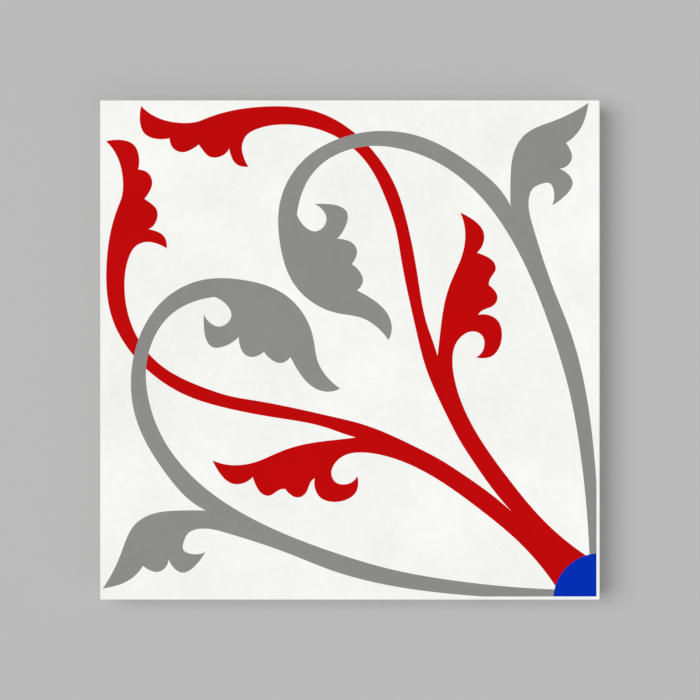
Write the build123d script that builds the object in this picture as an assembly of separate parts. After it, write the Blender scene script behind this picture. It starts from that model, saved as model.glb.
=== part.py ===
"""Square cement floor tile, pressed in its mould as one piece.

The tile lies on its bedding face with its walking face up. The origin is the middle of the
bedding face, and X and Y run along the sides. Lengths are in millimetres.
"""

from build123d import *

import os

# Driving dimensions
tile_side = 200.0  # nominal module, the same both ways
tile_thickness = 16.0  # from the bedding face to the walking face
face_bevel = 0.6  # eased arris round the walking face
back_bevel = 1.0  # broken edge round the bedding face


def pressed_slab():
    """The plain block that leaves the mould, standing on the XY plane."""
    return extrude(Rectangle(tile_side, tile_side), tile_thickness)


def ease_walking_face(slab):
    """The slab with a fine bevel round its walking face."""
    face_rim = slab.edges().group_by(Axis.Z)[-1]
    return chamfer(face_rim, face_bevel)


def break_bedding_edge(slab):
    """The slab with the edge round its bedding face broken."""
    back_rim = slab.edges().group_by(Axis.Z)[0]
    return chamfer(back_rim, back_bevel)


floor_tile = break_bedding_edge(ease_walking_face(pressed_slab()))

os.makedirs("parts", exist_ok=True)
export_step(floor_tile, "parts/floor_tile.step")
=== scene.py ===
"""Dresses the floor tile: one pressed cement tile with an inlaid ornament, lying on a plain pale floor.

The tile is one closed skin. Its walking face is parted along the ornament's own outlines, so every colour
of cement has faces of its own. The outlines are drawn in millimetres from the tile's blue corner, and the
finishes have their heights in millimetres. Other lengths are in metres.
"""

import math

import bpy
import numpy as np
from bpy.props import FloatProperty, FloatVectorProperty, PointerProperty
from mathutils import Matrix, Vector, noise
from mathutils.geometry import delaunay_2d_cdt
from mathutils.kdtree import KDTree


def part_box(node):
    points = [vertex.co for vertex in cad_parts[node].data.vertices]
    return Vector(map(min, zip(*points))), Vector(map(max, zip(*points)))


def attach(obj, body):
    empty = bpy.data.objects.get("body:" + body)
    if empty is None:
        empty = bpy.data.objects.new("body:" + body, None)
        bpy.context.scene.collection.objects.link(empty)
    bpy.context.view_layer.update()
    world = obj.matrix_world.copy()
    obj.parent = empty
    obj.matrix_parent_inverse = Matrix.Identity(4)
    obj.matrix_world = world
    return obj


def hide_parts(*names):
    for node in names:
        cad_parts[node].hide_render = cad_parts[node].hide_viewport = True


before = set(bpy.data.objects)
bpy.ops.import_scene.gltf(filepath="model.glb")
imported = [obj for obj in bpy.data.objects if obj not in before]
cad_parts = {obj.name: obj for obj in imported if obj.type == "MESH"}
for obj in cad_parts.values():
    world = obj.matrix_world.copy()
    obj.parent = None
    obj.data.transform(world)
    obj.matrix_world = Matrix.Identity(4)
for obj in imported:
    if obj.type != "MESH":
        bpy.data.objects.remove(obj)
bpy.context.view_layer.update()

bl_info = {
    "name": "Cement floor tile",
    "version": (1, 0, 0),
    "blender": (4, 5, 0),
    "location": "View3D > Sidebar > Floor tile",
    "description": "Presses one ornamented cement floor tile and sets a plain stage for it",
    "category": "Add Mesh",
}

MM = 0.001
TILE_NODE = "floor_tile"
TILE_LOW, TILE_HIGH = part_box(TILE_NODE)
TILE_SPAN = TILE_HIGH - TILE_LOW
PICTURE_PIXELS = 700  # width of the picture
TILE_PIXELS = 500  # width of the tile in it

# The ornament, in millimetres

DRAWN_SIDE = 200.0  # side of the tile that the outlines are drawn on
PLAIN_RIM = 1.4  # white strip between the tile's edge and the blue corner and grey stems
ROSETTE_RADIUS = 18.7  # blue quarter disc about the tile's corner
STROKE_STEP = 0.5  # between neighbouring points of an outline

# The half of the ornament on one side of the diagonal through the blue corner. A point is (u, v), in from
# the right edge and up from the front edge. A row is one smooth stroke that runs on from the end of the
# row before it and ends in a corner of the outline.
GREY_SCROLL = (
    # Inner edge of the stem, from its root round the big scroll to its curl
    ((8.0, 60.0), (12.4, 84.0), (18.9, 106.0), (35.6, 144.6), (46.0, 159.4), (70.0, 177.4), (82.0, 180.9),
     (92.0, 181.6), (110.0, 175.4), (121.2, 154.3)),
    ((118.9, 150.2), (113.4, 147.5), (109.4, 152.1), (110.6, 155.6), (114.4, 158.4)),
    # Hook and lobes of the big leaf, to its tip
    ((108.7, 158.4), (104.2, 157.5), (101.5, 155.6), (102.2, 148.6), (105.2, 144.5)),
    ((101.6, 144.0), (98.6, 142.4), (97.2, 139.6), (97.9, 136.5), (99.3, 134.4)),
    ((96.6, 132.0), (94.8, 128.3), (97.2, 123.8)),
    ((92.1, 121.0), (84.4, 113.4), (83.3, 109.0), (84.6, 103.9)),
    # Back of the big leaf and outer edge of the scroll, to the fork
    ((90.4, 110.1), (94.7, 112.6), (105.3, 114.8), (121.6, 125.3), (128.1, 143.2), (127.8, 160.0),
     (120.4, 174.1), (98.0, 186.4), (74.0, 186.0), (50.0, 173.2), (38.3, 162.0), (35.8, 157.6)),
    # Back of the small leaf, its lobes and its hook
    ((35.8, 168.0), (33.2, 182.0), (30.0, 186.2), (20.0, 191.1), (12.0, 194.5), (4.6, 198.9)),
    ((5.6, 194.0), (7.1, 189.9), (13.6, 182.8)),
    ((11.9, 180.0), (11.2, 177.0), (12.3, 174.5), (16.3, 172.5)),
    ((12.9, 170.5), (11.0, 167.5), (14.7, 161.0), (19.2, 157.9)),
    # Curl of the small leaf and outer edge of the stem, down to the rim and along it to the root
    ((18.3, 161.5), (20.4, 166.8), (23.6, 166.4), (26.5, 164.9), (28.5, 157.0), (27.0, 150.0),
     (17.6, 122.0), (12.8, 110.0), (2.9, 64.0), (PLAIN_RIM, 46.5)),
    ((PLAIN_RIM, 15.0),),
    ((4.1, 15.0),),
)
RED_BRANCH = (
    # Left edge, from the fork on the diagonal to the hook of the far leaf
    ((41.4, 42.4), (51.1, 56.0), (56.2, 64.0), (60.4, 72.0), (70.8, 96.6), (73.0, 105.5), (79.8, 138.0),
     (81.6, 148.0), (84.8, 158.0), (94.2, 176.0), (104.8, 184.9), (126.0, 190.2), (137.9, 188.1),
     (140.8, 186.4), (143.2, 181.4), (142.8, 178.1), (140.6, 173.3)),
    # Lobes of the far leaf, to its tip
    ((146.3, 175.2), (147.6, 177.7), (148.3, 180.6)),
    ((150.0, 178.4), (156.3, 177.4), (158.8, 179.8), (160.5, 182.2)),
    ((163.6, 180.1), (166.8, 179.1), (169.9, 180.0), (172.2, 184.7)),
    ((175.5, 184.3), (182.1, 186.5), (184.1, 193.5), (183.5, 197.6)),
    # Back of the far leaf and right edge, down to the near leaf
    ((180.0, 194.6), (166.3, 190.8), (161.3, 191.3), (157.2, 192.8), (134.0, 197.4), (112.0, 194.9),
     (98.2, 186.9), (81.2, 164.0), (77.4, 152.0), (73.0, 130.0), (69.0, 109.7), (66.6, 102.8), (65.0, 97.7)),
    # Back of the near leaf, its lobes and its hook
    ((64.1, 105.5), (61.2, 122.6), (58.3, 130.3), (55.4, 137.2), (54.2, 149.5), (55.9, 155.0)),
    ((52.1, 153.0), (46.4, 146.5), (46.6, 143.0), (49.2, 138.9)),
    ((45.0, 137.2), (42.3, 134.9), (41.7, 132.5), (44.0, 128.3), (44.4, 125.9)),
    ((42.4, 124.1), (41.0, 121.0), (42.5, 117.9), (45.4, 116.5), (47.6, 115.4), (48.7, 114.1)),
    ((46.8, 114.3), (44.6, 114.0), (41.2, 112.1), (43.3, 97.5), (46.7, 96.7), (49.7, 97.1)),
    # Curl of the near leaf and right edge of the trunk, into the blue corner and back up the diagonal
    ((47.3, 99.0), (47.2, 105.8), (50.2, 107.4), (57.0, 103.6), (59.0, 96.0), (58.1, 88.0), (36.2, 48.0),
     (22.7, 32.0), (2.6, 15.9)),
    ((9.0, 9.0),),
    ((35.4, 35.4),),
)


def smooth_line(points):
    """Close points along the cubic curve through the given ones, whose bend is level at both ends."""
    points = np.asarray(points, float)
    if len(points) == 2:
        return points
    spans = np.hypot(*np.diff(points, axis=0).T)
    slopes = np.diff(points, axis=0) / spans[:, None]
    last = len(points) - 1
    system = np.zeros((last + 1, last + 1))
    system[0, :2] = 1, -1
    system[last, -2:] = -1, 1
    for i in range(1, last):
        system[i, i - 1:i + 2] = spans[i - 1], 2 * (spans[i - 1] + spans[i]), spans[i]
    turns = np.zeros_like(points)
    turns[1:-1] = 6 * np.diff(slopes, axis=0)
    bends = np.linalg.solve(system, turns)
    line = []
    for i, span in enumerate(spans):
        t = np.linspace(0, 1, math.ceil(span / STROKE_STEP), endpoint=False)[:, None]
        s = 1 - t
        bow = (s ** 3 - s) * bends[i] + (t ** 3 - t) * bends[i + 1]
        line.append(s * points[i] + t * points[i + 1] + bow * span ** 2 / 6)
    return np.concatenate([*line, points[-1:]])


def outline(strokes):
    """The closed outline that the strokes draw."""
    corner = strokes[-1][-1]
    loop = []
    for stroke in strokes:
        loop.append(smooth_line((corner, *stroke))[1:])
        corner = stroke[-1]
    return np.concatenate(loop)


def rosette():
    """The blue quarter disc, cut back by the plain rim along both edges of the tile."""
    start = math.asin(PLAIN_RIM / ROSETTE_RADIUS)
    count = math.ceil(ROSETTE_RADIUS * math.pi / 2 / STROKE_STEP)
    turn = np.linspace(start, math.pi / 2 - start, count)
    arc = ROSETTE_RADIUS * np.column_stack([np.cos(turn), np.sin(turn)])
    return np.concatenate([arc, [(PLAIN_RIM, PLAIN_RIM)]])


def counterclockwise(loop):
    """The loop, turned round if it runs clockwise."""
    ahead = np.roll(loop, -1, axis=0)
    area = np.sum(loop[:, 0] * ahead[:, 1] - ahead[:, 0] * loop[:, 1])
    return loop if area > 0 else loop[::-1]


def ornament(side):
    """The inlay's colours and their loops on the tile in metres, each covering the ones before it."""
    red = outline(RED_BRANCH)
    grey = outline(GREY_SCROLL)
    drawn = (
        ("red", red),
        ("red", red[:, ::-1]),
        ("grey", grey),
        ("grey", grey[:, ::-1]),
        ("blue", rosette()),
    )
    inlay = []
    for colour, loop in drawn:
        placed = np.column_stack([DRAWN_SIDE / 2 - loop[:, 0], loop[:, 1] - DRAWN_SIDE / 2])
        inlay.append((colour, counterclockwise(placed * side / DRAWN_SIDE)))
    return inlay


# The skin

FINISHES = ("white", "red", "grey", "blue", "bare")
SIDES = 4
WELD = 1e-7  # points of a parted face that are nearer than this are one
WITHIN_RIM = 1  # kind of triangulation that keeps only what lies inside the rim
CORNER_STEPS = 3  # in half an upright corner
ROUND_STEPS = 4  # in a rounded edge
LEAST_CORNER = 0.1 * MM  # radius that an upright corner keeps however far it is drawn in
FACE_GRID = 4.0 * MM  # spare points of the walking face, which keep its triangles even
BACK_GRID = 2.0 * MM  # spare points of the back, which carry its unevenness
RIM_STEP = 1.0 * MM  # between neighbouring points along a side, and between rings down it
SIDE_RELIEF = 0.12 * MM  # unevenness that the mould leaves on the sides
BACK_RELIEF = 0.2 * MM  # and on the back
RELIEF_GRAIN = 3.5 * MM  # width of its swells

# Where the patches of the skin lie on the bake's map: their middle and their scale
FACE_SCALE = 2.42  # map widths for each metre of the walking face and of the sides
BACK_SCALE = 1.38  # and of the back
MAP_PATCHES = {
    "white": (0.25, 0.75, FACE_SCALE),
    "red": (0.75, 0.75, FACE_SCALE),
    "grey": (0.25, 0.25, FACE_SCALE),
    "blue": (0.70, 0.28, FACE_SCALE),
    "bare": (0.66, 0.15, BACK_SCALE),
}
MAP_STRIPS = (0.508, 0.305, FACE_SCALE)  # first corner of the sides' strips, one above the other
STRIP_PITCH = 0.046  # from one strip up to the next, in map widths


def quarter_turn(points):
    """The points, turned a quarter counterclockwise about the tile's middle."""
    return np.column_stack([-points[:, 1], points[:, 0]])


def rim_loop(sizes, inset):
    """The tile's outline from above, drawn in by the inset, and its outward directions.

    It runs counterclockwise from the middle of an upright corner, with as many points at any inset.
    """
    radius = max(sizes.upright_corner - inset, LEAST_CORNER)
    corner = sizes.side / 2 - inset - radius
    along = np.linspace(-corner, corner, math.ceil(sizes.side / RIM_STEP) + 1)
    bend = np.linspace(0, math.pi / 4, CORNER_STEPS + 1)
    angle = np.concatenate([-bend[:0:-1], np.zeros_like(along), bend[1:-1]])
    reach = np.concatenate([np.full(CORNER_STEPS, -corner), along, np.full(CORNER_STEPS - 1, corner)])
    outward = [np.column_stack([np.cos(angle), np.sin(angle)])]
    loop = [np.column_stack([np.full_like(reach, corner), reach]) + radius * outward[0]]
    for _ in range(SIDES - 1):
        outward.append(quarter_turn(outward[-1]))
        loop.append(quarter_turn(loop[-1]))
    return np.concatenate(loop), np.concatenate(outward)


def spare_points(loops, spacing):
    """Points of a square grid inside the first loop, each a third of the spacing clear of every loop."""
    edges = np.concatenate(loops)
    tree = KDTree(len(edges))
    for i, point in enumerate(edges):
        tree.insert((*point, 0.0), i)
    tree.balance()
    reach = np.abs(loops[0]).max()
    ticks = np.arange(-reach + spacing / 2, reach, spacing)
    grid = [(x, y) for x in ticks for y in ticks]
    return [point for point in grid if tree.find((*point, 0.0))[2] > spacing / 3]


def parted_face(rim, inlay, spacing):
    """Triangles of the flat face inside the rim, parted along the inlay's loops.

    Gives the points, the rim's places among them, the triangles, and each triangle's loop: 0 for the rim,
    or else the last of the inlay's loops that covers it.
    """
    loops = [rim, *inlay]
    points, faces = [], []
    for loop in loops:
        faces.append(range(len(points), len(points) + len(loop)))
        points.extend(loop)
    points.extend(spare_points(loops, spacing))
    flat = [Vector(point) / MM for point in points]
    result = delaunay_2d_cdt(flat, [], faces, WITHIN_RIM, WELD / MM, True)
    parted, _, triangles, origins, _, covers = result
    if not all(0 in cover for cover in covers):
        raise RuntimeError("the ornament reaches past the rim of the tile's face")
    place = {first: i for i, group in enumerate(origins) for first in group}
    return (
        np.array(parted)[:, :2] * MM,
        [place[i] for i in faces[0]],
        triangles,
        [max(cover) for cover in covers],
    )


def unevenness(point):
    """Soft noise between 0 and 1 at a point of the skin."""
    return 0.5 + 0.5 * noise.noise(Vector(point) / RELIEF_GRAIN)


class Skin:
    """A closed skin in the making: its points, its faces, and each face's finish and place on the map."""

    def __init__(self):
        self.points = []
        self.faces = []
        self.finishes = []
        self.smooth = []
        self.map_places = []

    def add_points(self, points):
        """Adds points and gives their numbers."""
        first = len(self.points)
        self.points.extend(tuple(map(float, point)) for point in points)
        return np.arange(first, len(self.points))

    def add_face(self, corners, finish, places, patch, smooth):
        """Adds one face, whose corners lie at the given flat places of a patch of the map."""
        map_x, map_y, scale = patch
        self.faces.append([int(corner) for corner in corners])
        self.finishes.append(FINISHES.index(finish))
        self.smooth.append(smooth)
        self.map_places.extend((map_x + scale * x, map_y + scale * y) for x, y in places)

    def add_band(self, upper, lower, upper_places, lower_places, finish, patch):
        """Adds the quads between two rings of points. Places are each quad's left and right ones."""
        ahead = np.roll(np.arange(len(upper)), -1)
        for i, j in enumerate(ahead):
            corners = (upper[i], lower[i], lower[j], upper[j])
            places = (upper_places[0][i], lower_places[0][i], lower_places[1][i], upper_places[1][i])
            self.add_face(corners, finish, places, patch, True)

    def check_closed(self):
        """Raises an error unless each edge joins two faces that run along it in opposite ways."""
        ways = set()
        count = 0
        for face in self.faces:
            ways.update(zip(face, face[1:] + face[:1]))
            count += len(face)
        if len(ways) != count or any((b, a) not in ways for a, b in ways):
            raise RuntimeError("the tile's skin is not closed")

    def mesh(self, name, materials):
        """The finished mesh, with its map and its materials."""
        self.check_closed()
        mesh = bpy.data.meshes.new(name)
        mesh.from_pydata(self.points, [], self.faces)
        for material in materials:
            mesh.materials.append(material)
        mesh.polygons.foreach_set("material_index", self.finishes)
        mesh.polygons.foreach_set("use_smooth", self.smooth)
        mesh.uv_layers.new(name="OFBake").data.foreach_set("uv", np.ravel(self.map_places))
        mesh.update()
        return mesh


def around(places):
    """A ring's flat places as the left and right ends of the quads along it."""
    return places, np.roll(places, -1, axis=0)


def walking_face(skin, sizes):
    """Adds the flat ornamented face and gives the numbers of its rim."""
    rim, _ = rim_loop(sizes, sizes.arris)
    inlay = ornament(sizes.side)
    points, rim_places, triangles, covers = parted_face(rim, [loop for _, loop in inlay], FACE_GRID)
    numbers = skin.add_points((x, y, sizes.thickness) for x, y in points)
    colours = ("white", *(colour for colour, _ in inlay))
    for triangle, cover in zip(triangles, covers):
        finish = colours[cover]
        skin.add_face(numbers[triangle], finish, points[triangle], MAP_PATCHES[finish], False)
    return numbers[rim_places]


def bedding_face(skin, sizes):
    """Adds the uneven back, whose rim lies on the floor, and gives the numbers of its rim."""
    rim, _ = rim_loop(sizes, sizes.back_edge)
    points, rim_places, triangles, _ = parted_face(rim, [], BACK_GRID)
    heights = np.array([BACK_RELIEF * unevenness((x, y, 0)) for x, y in points])
    heights[rim_places] = 0.0
    numbers = skin.add_points(np.column_stack([points, heights]))
    for triangle in triangles:
        corners = triangle[::-1]
        skin.add_face(numbers[corners], "bare", points[corners], MAP_PATCHES["bare"], True)
    return numbers[rim_places]


def rounded_edge(radius):
    """Steps round a quarter edge from flat to upright: the angle turned, the inset and the drop."""
    return [
        (angle, radius * (1 - math.sin(angle)), radius * (1 - math.cos(angle)))
        for angle in np.linspace(0, math.pi / 2, ROUND_STEPS + 1)
    ]


def add_arris(skin, sizes, rim):
    """Rounds the edge of the walking face down to the sides and gives the numbers of its last ring.

    On the map the rounded edge is rolled out flat around the face.
    """
    upper = rim
    upper_places, _ = rim_loop(sizes, sizes.arris)
    for angle, inset, drop in rounded_edge(sizes.arris)[1:]:
        loop, _ = rim_loop(sizes, inset)
        lower = skin.add_points((x, y, sizes.thickness - drop) for x, y in loop)
        lower_places, _ = rim_loop(sizes, sizes.arris - sizes.arris * angle)
        places = around(upper_places), around(lower_places)
        skin.add_band(upper, lower, *places, "white", MAP_PATCHES["white"])
        upper, upper_places = lower, lower_places
    return upper


def strip_places(loop, height):
    """The left and right places of a ring's quads on the strips of the four sides."""
    per_side = len(loop) // SIDES
    steps = np.hypot(*(np.roll(loop, -1, axis=0) - loop).T)[:per_side]
    right = np.cumsum(steps)
    left = right - steps
    rows = np.repeat(np.arange(SIDES) * STRIP_PITCH / FACE_SCALE, per_side) + height
    return tuple(np.column_stack([np.tile(ends, SIDES), rows]) for ends in (left, right))


def add_sides(skin, sizes, upper):
    """Drops the slightly uneven sides from the arris to the back edge and gives the last ring's numbers."""
    loop, outward = rim_loop(sizes, 0.0)
    top = sizes.thickness - sizes.arris
    levels = np.linspace(top, sizes.back_edge, math.ceil((top - sizes.back_edge) / RIM_STEP) + 1)
    for above, level in zip(levels, levels[1:]):
        depth = np.zeros(len(loop))
        if level > levels[-1]:
            depth += [SIDE_RELIEF * unevenness((x, y, level)) for x, y in loop]
        ring = loop - outward * depth[:, None]
        lower = skin.add_points((x, y, level) for x, y in ring)
        places = strip_places(loop, above), strip_places(loop, level)
        skin.add_band(upper, lower, *places, "bare", MAP_STRIPS)
        upper = lower
    return upper


def add_back_edge(skin, sizes, upper, back_rim):
    """Rounds the foot of the sides in to the rim of the back.

    On the map the rounded edge is rolled out flat around the back.
    """
    upper_places = around(rim_loop(sizes, sizes.back_edge * (1 - math.pi / 2))[0])
    for angle, inset, rise in reversed(rounded_edge(sizes.back_edge)[:-1]):
        loop, _ = rim_loop(sizes, inset)
        lower = back_rim if angle == 0 else skin.add_points((x, y, rise) for x, y in loop)
        lower_places = around(rim_loop(sizes, sizes.back_edge * (1 - angle))[0])
        skin.add_band(upper, lower, upper_places, lower_places, "bare", MAP_PATCHES["bare"])
        upper, upper_places = lower, lower_places


# The finishes

LEAST_PIT = 0.3  # radius of the smallest pits, as a share of the largest ones'
PIT_BOTTOM = 0.4  # radius of a pit's flat bottom, as a share of its own


class Level:
    """An output of one of a finish's nodes. Arithmetic on it adds Math nodes to the finish."""

    def __init__(self, finish, socket):
        self.finish = finish
        self.socket = socket

    def __add__(self, other):
        return self.finish.math("ADD", self, other)

    def __sub__(self, other):
        return self.finish.math("SUBTRACT", self, other)

    def __rsub__(self, other):
        return self.finish.math("SUBTRACT", other, self)

    def __mul__(self, other):
        return self.finish.math("MULTIPLY", self, other)

    def __truediv__(self, other):
        return self.finish.math("DIVIDE", self, other)

    def __rtruediv__(self, other):
        return self.finish.math("DIVIDE", other, self)

    __radd__ = __add__
    __rmul__ = __mul__


class Finish:
    """The nodes of one cement finish, whose patterns are laid out in the tile's own metres."""

    def __init__(self, name, seed):
        self.material = bpy.data.materials.new(name)
        self.material.use_nodes = True
        self.tree = self.material.node_tree
        self.tree.nodes.clear()
        self.seed = seed
        self.place = self.node("ShaderNodeTexCoord")["Object"]

    def node(self, kind, settings=(), sockets=()):
        """Adds a node, its settings first and then its sockets' values or links, and gives its outputs."""
        node = self.tree.nodes.new(kind)
        for name, value in dict(settings).items():
            setattr(node, name, value)
        for key, value in dict(sockets).items():
            if isinstance(value, Level):
                self.tree.links.new(value.socket, node.inputs[key])
            else:
                node.inputs[key].default_value = value
        return {socket.identifier: Level(self, socket) for socket in node.outputs}

    def math(self, operation, first, second):
        """One Math node on two values."""
        return self.node("ShaderNodeMath", {"operation": operation}, {0: first, 1: second})["Value"]

    def cloud(self, size, detail=2.0):
        """Soft noise about zero, in patches of about the given size."""
        sockets = {"Vector": self.place, "W": self.seed, "Scale": 1 / size, "Detail": detail}
        noise_value = self.node("ShaderNodeTexNoise", {"noise_dimensions": "4D"}, sockets)["Fac"]
        return noise_value * 2 - 1

    def grains(self, size):
        """Packed sand grains: a tone about zero for each, and their round shape, 0 at a grain's middle."""
        cell = self.node("ShaderNodeTexVoronoi", (), {"Vector": self.place, "Scale": 1 / size})
        lot = self.node("ShaderNodeSeparateColor", (), {0: cell["Color"]})
        return lot["Red"] * 2 - 1, cell["Distance"]

    def pits(self, dimensions, spacing, radius, share, ragged):
        """1 in small pits, 0 between them. Only a share of the cells of this spacing has one.

        They come in all sizes up to the radius, and the ragged noise wears their rims uneven.
        """
        sockets = {"Vector": self.place, "Scale": 1 / spacing}
        cell = self.node("ShaderNodeTexVoronoi", {"voronoi_dimensions": dimensions}, sockets)
        lot = self.node("ShaderNodeSeparateColor", (), {0: cell["Color"]})
        reach = radius / spacing * (LEAST_PIT + (1 - LEAST_PIT) * lot["Green"])
        slope = {"Value": cell["Distance"] / reach + ragged, "From Min": 1.0, "From Max": PIT_BOTTOM}
        pit = self.node("ShaderNodeMapRange", {"interpolation_type": "SMOOTHSTEP"}, slope)["Result"]
        return pit * self.math("LESS_THAN", lot["Red"], share)

    def tinted(self, colour, tone):
        """The colour, lightened or darkened by a tone about 1."""
        sockets = {0: colour, "Scale": tone}
        return self.node("ShaderNodeVectorMath", {"operation": "SCALE"}, sockets)["Vector"]

    def surface(self, colour, roughness, height, specular):
        """Ends the finish in its shader. The height is in millimetres."""
        normal = self.node("ShaderNodeBump", (), {"Distance": MM, "Height": height})["Normal"]
        sockets = {
            "Base Color": colour,
            "Roughness": roughness,
            "Normal": normal,
            "Specular IOR Level": specular,
        }
        shader = self.node("ShaderNodeBsdfPrincipled", (), sockets)["BSDF"]
        self.node("ShaderNodeOutputMaterial", (), {"Surface": shader})
        return self.material


def face_cement(name, colour, seed):
    """Cement of the walking face: even pigment with faint clouds, fine sand and a few pinholes, darkened in
    colour as painted shade.
    """
    finish = Finish(name, seed)
    clouds = finish.cloud(28 * MM, detail=3.0)
    mottle = finish.cloud(4 * MM)
    sand = finish.cloud(0.7 * MM, detail=1.0)
    pinholes = finish.pits("2D", spacing=7 * MM, radius=0.3 * MM, share=0.3, ragged=sand)
    # the pinholes also darken the tone: painted shade inside the pinholes
    tone = 1 + 0.09 * clouds + 0.04 * mottle + 0.05 * sand - 0.08 * pinholes
    roughness = 0.55 + 0.1 * clouds + 0.1 * mottle + 0.3 * pinholes
    height = 0.012 * mottle + 0.004 * sand - 0.1 * pinholes
    return finish.surface(finish.tinted(colour, tone), roughness, height, specular=0.02)


def bare_cement(name, colour, seed):
    """Cement as it leaves the mould on the sides and back: sandy, with open pits, darkened in colour inside
    as painted shade.
    """
    finish = Finish(name, seed)
    clouds = finish.cloud(18 * MM, detail=3.0)
    mottle = finish.cloud(3 * MM, detail=3.0)
    sand = finish.cloud(0.6 * MM)
    grain_tone, grain_shape = finish.grains(1.1 * MM)
    pits = finish.pits("3D", spacing=2 * MM, radius=0.6 * MM, share=0.5, ragged=sand)
    # the pits also darken the tone: painted shade inside the pits
    tone = 1 + 0.16 * clouds + 0.16 * mottle + 0.2 * sand + 0.07 * grain_tone - 0.25 * pits
    roughness = 0.86 + 0.06 * mottle
    height = 0.06 * mottle + 0.05 * sand - 0.12 * grain_shape - 0.3 * pits
    return finish.surface(finish.tinted(colour, tone), roughness, height, specular=0.1)


def cements(colours):
    """The materials of the skin, in the order of its finishes."""
    made = []
    for seed, finish in enumerate(FINISHES):
        recipe = bare_cement if finish == "bare" else face_cement
        made.append(recipe(f"{finish}_cement", tuple(getattr(colours, finish)), float(seed)))
    return made


# What a user may change


class TileSizes(bpy.types.PropertyGroup):
    """Sizes of the tile."""

    side: FloatProperty(
        name="Side",
        description="Side of the square tile",
        default=TILE_SPAN.x,
        unit="LENGTH",
    )
    thickness: FloatProperty(
        name="Thickness",
        description="From the bedding face to the walking face",
        default=TILE_SPAN.z,
        unit="LENGTH",
    )
    arris: FloatProperty(
        name="Arris",
        description="Radius of the eased edge round the walking face",
        default=0.6 * MM,
        unit="LENGTH",
    )
    upright_corner: FloatProperty(
        name="Upright corner",
        description="Radius of the four upright corners",
        default=0.7 * MM,
        unit="LENGTH",
    )
    back_edge: FloatProperty(
        name="Back edge",
        description="Radius of the broken edge round the bedding face",
        default=1.0 * MM,
        unit="LENGTH",
    )


class CementColours(bpy.types.PropertyGroup):
    """Colours of the cements."""

    white: FloatVectorProperty(
        name="White",
        description="Cement of the plain field",
        default=(0.845, 0.845, 0.822),
        subtype="COLOR",
    )
    red: FloatVectorProperty(
        name="Red",
        description="Cement of the branches and their leaves",
        default=(0.483, 0.0014, 0.0017),
        subtype="COLOR",
    )
    grey: FloatVectorProperty(
        name="Grey",
        description="Cement of the scrolls and their leaves",
        default=(0.243, 0.243, 0.235),
        subtype="COLOR",
    )
    blue: FloatVectorProperty(
        name="Blue",
        description="Cement of the quarter rosette",
        default=(0.0003, 0.025, 0.408),
        subtype="COLOR",
    )
    bare: FloatVectorProperty(
        name="Bare",
        description="Cement of the sides and the back",
        default=(0.8, 0.795, 0.77),
        subtype="COLOR",
    )


class StageSettings(bpy.types.PropertyGroup):
    """Floor, light and camera."""

    floor_radius: FloatProperty(
        name="Floor radius",
        description="How far the floor reaches",
        default=12.0,
        unit="LENGTH",
    )
    floor_colour: FloatVectorProperty(
        name="Floor colour",
        description="Colour of the plain floor",
        default=(0.462, 0.462, 0.462),
        subtype="COLOR",
    )
    sky_strength: FloatProperty(
        name="Sky strength",
        description="Brightness of the even light from all round",
        default=0.5,
    )
    key_strength: FloatProperty(
        name="Key strength",
        description="Brightness of the key light",
        default=1.81,
    )
    key_spread: FloatProperty(
        name="Key spread",
        description="Apparent width of the key light, which softens its shadow",
        default=math.radians(40),
        subtype="ANGLE",
    )
    key_height: FloatProperty(
        name="Key height",
        description="Height of the key light above the horizon",
        default=math.radians(60),
        subtype="ANGLE",
    )
    key_bearing: FloatProperty(
        name="Key bearing",
        description="Direction that the key light comes from, counterclockwise from the right",
        default=math.radians(172),
        subtype="ANGLE",
    )
    fill_strength: FloatProperty(
        name="Fill strength",
        description="Brightness of the fill light",
        default=0.35,
    )
    fill_spread: FloatProperty(
        name="Fill spread",
        description="Apparent width of the fill light",
        default=math.radians(50),
        subtype="ANGLE",
    )
    fill_height: FloatProperty(
        name="Fill height",
        description="Height of the fill light above the horizon",
        default=math.radians(45),
        subtype="ANGLE",
    )
    fill_bearing: FloatProperty(
        name="Fill bearing",
        description="Direction that the fill light comes from, counterclockwise from the right",
        default=math.radians(-35),
        subtype="ANGLE",
    )
    lens: FloatProperty(
        name="Lens",
        description="Focal length of the camera",
        default=100.0,
        unit="CAMERA",
    )
    tile_share: FloatProperty(
        name="Tile share",
        description="Share of the picture's width that the tile takes up",
        default=TILE_PIXELS / PICTURE_PIXELS,
        subtype="FACTOR",
    )


# The steps

FLOOR_CORNERS = 128  # enough for the wide floor to look round


class MESH_OT_press_floor_tile(bpy.types.Operator):
    """Makes the ornamented tile as one closed skin in the place of the plain slab"""

    bl_idname = "mesh.press_floor_tile"
    bl_label = "Press floor tile"

    def execute(self, context):
        scene = context.scene
        sizes = scene.tile_sizes
        skin = Skin()
        ring = add_arris(skin, sizes, walking_face(skin, sizes))
        ring = add_sides(skin, sizes, ring)
        add_back_edge(skin, sizes, ring, bedding_face(skin, sizes))
        mesh = skin.mesh("cement_tile", cements(scene.tile_colours))
        tile = bpy.data.objects.new("cement_tile", mesh)
        tile.location = ((TILE_LOW.x + TILE_HIGH.x) / 2, (TILE_LOW.y + TILE_HIGH.y) / 2, TILE_LOW.z)
        scene.collection.objects.link(tile)
        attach(tile, "root")
        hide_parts(TILE_NODE)
        return {"FINISHED"}


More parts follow.
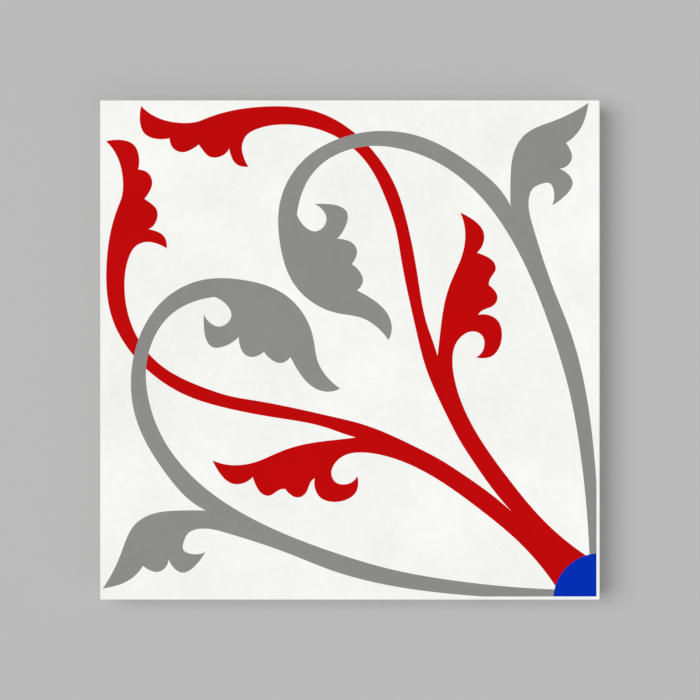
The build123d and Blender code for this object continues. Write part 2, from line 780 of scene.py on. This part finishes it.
class SCENE_OT_set_tile_stage(bpy.types.Operator):
    """Lays a plain floor, lights it softly from the left and looks straight down on the tile"""

    bl_idname = "scene.set_tile_stage"
    bl_label = "Set tile stage"

    def execute(self, context):
        scene = context.scene
        stage = scene.tile_stage
        scene.view_settings.view_transform = "Standard"
        self.lay_floor(scene, stage)
        self.light(scene, stage)
        self.place_camera(scene, stage, scene.tile_sizes)
        return {"FINISHED"}

    def lay_floor(self, scene, stage):
        """A wide round floor at the tile's foot."""
        turn = np.linspace(0, 2 * math.pi, FLOOR_CORNERS, endpoint=False)
        ring = stage.floor_radius * np.column_stack([np.cos(turn), np.sin(turn)])
        mesh = bpy.data.meshes.new("floor")
        mesh.from_pydata([(x, y, TILE_LOW.z) for x, y in ring], [], [range(FLOOR_CORNERS)])
        material = bpy.data.materials.new("plain_floor")
        material.use_nodes = True
        shader = material.node_tree.nodes["Principled BSDF"]
        shader.inputs["Base Color"].default_value = (*stage.floor_colour, 1.0)
        shader.inputs["Roughness"].default_value = 1.0
        shader.inputs["Specular IOR Level"].default_value = 0.0
        mesh.materials.append(material)
        floor = bpy.data.objects.new("floor", mesh)
        scene.collection.objects.link(floor)

    def light(self, scene, stage):
        """An even sky, a soft key light from the left and a weak fill light across from it."""
        world = bpy.data.worlds.new("even_sky")
        world.use_nodes = True
        sky = world.node_tree.nodes["Background"]
        sky.inputs["Color"].default_value = (1.0, 1.0, 1.0, 1.0)
        sky.inputs["Strength"].default_value = stage.sky_strength
        scene.world = world
        for name in ("key", "fill"):
            lamp = bpy.data.lights.new(name, "SUN")
            lamp.energy = getattr(stage, f"{name}_strength")
            lamp.angle = getattr(stage, f"{name}_spread")
            height = getattr(stage, f"{name}_height")
            bearing = getattr(stage, f"{name}_bearing")
            across = math.cos(height)
            toward = Vector((across * math.cos(bearing), across * math.sin(bearing), math.sin(height)))
            light = bpy.data.objects.new(name, lamp)
            light.location = toward
            light.rotation_euler = toward.to_track_quat("Z", "Y").to_euler()
            scene.collection.objects.link(light)

    def place_camera(self, scene, stage, sizes):
        """A camera straight above the tile's middle, with +Y at the top of the picture."""
        lens = bpy.data.cameras.new("camera")
        lens.lens = stage.lens
        seen_width = sizes.side / stage.tile_share
        height = seen_width * stage.lens / lens.sensor_width
        camera = bpy.data.objects.new("camera", lens)
        middle = (TILE_LOW + TILE_HIGH) / 2
        camera.location = (middle.x, middle.y, TILE_HIGH.z + height)
        scene.collection.objects.link(camera)
        scene.camera = camera


STEPS = (MESH_OT_press_floor_tile, SCENE_OT_set_tile_stage)
GROUPS = {"tile_sizes": TileSizes, "tile_colours": CementColours, "tile_stage": StageSettings}


class VIEW3D_PT_floor_tile(bpy.types.Panel):
    """Lists the tile's settings and steps"""

    bl_label = "Floor tile"
    bl_space_type = "VIEW_3D"
    bl_region_type = "UI"
    bl_category = "Floor tile"

    def draw(self, context):
        for group, kind in GROUPS.items():
            box = self.layout.box()
            for name in kind.__annotations__:
                box.prop(getattr(context.scene, group), name)
        for step in STEPS:
            self.layout.operator(step.bl_idname)


CLASSES = (*GROUPS.values(), *STEPS, VIEW3D_PT_floor_tile)


def register():
    """Makes the settings, the steps and the panel known to Blender."""
    for kind in CLASSES:
        bpy.utils.register_class(kind)
    for group, kind in GROUPS.items():
        setattr(bpy.types.Scene, group, PointerProperty(type=kind))


def unregister():
    """Takes them out again."""
    for group in GROUPS:
        delattr(bpy.types.Scene, group)
    for kind in reversed(CLASSES):
        bpy.utils.unregister_class(kind)


def main():
    """Runs the steps in order."""
    register()
    bpy.ops.mesh.press_floor_tile()
    bpy.ops.scene.set_tile_stage()


if __name__ == "__main__":
    main()
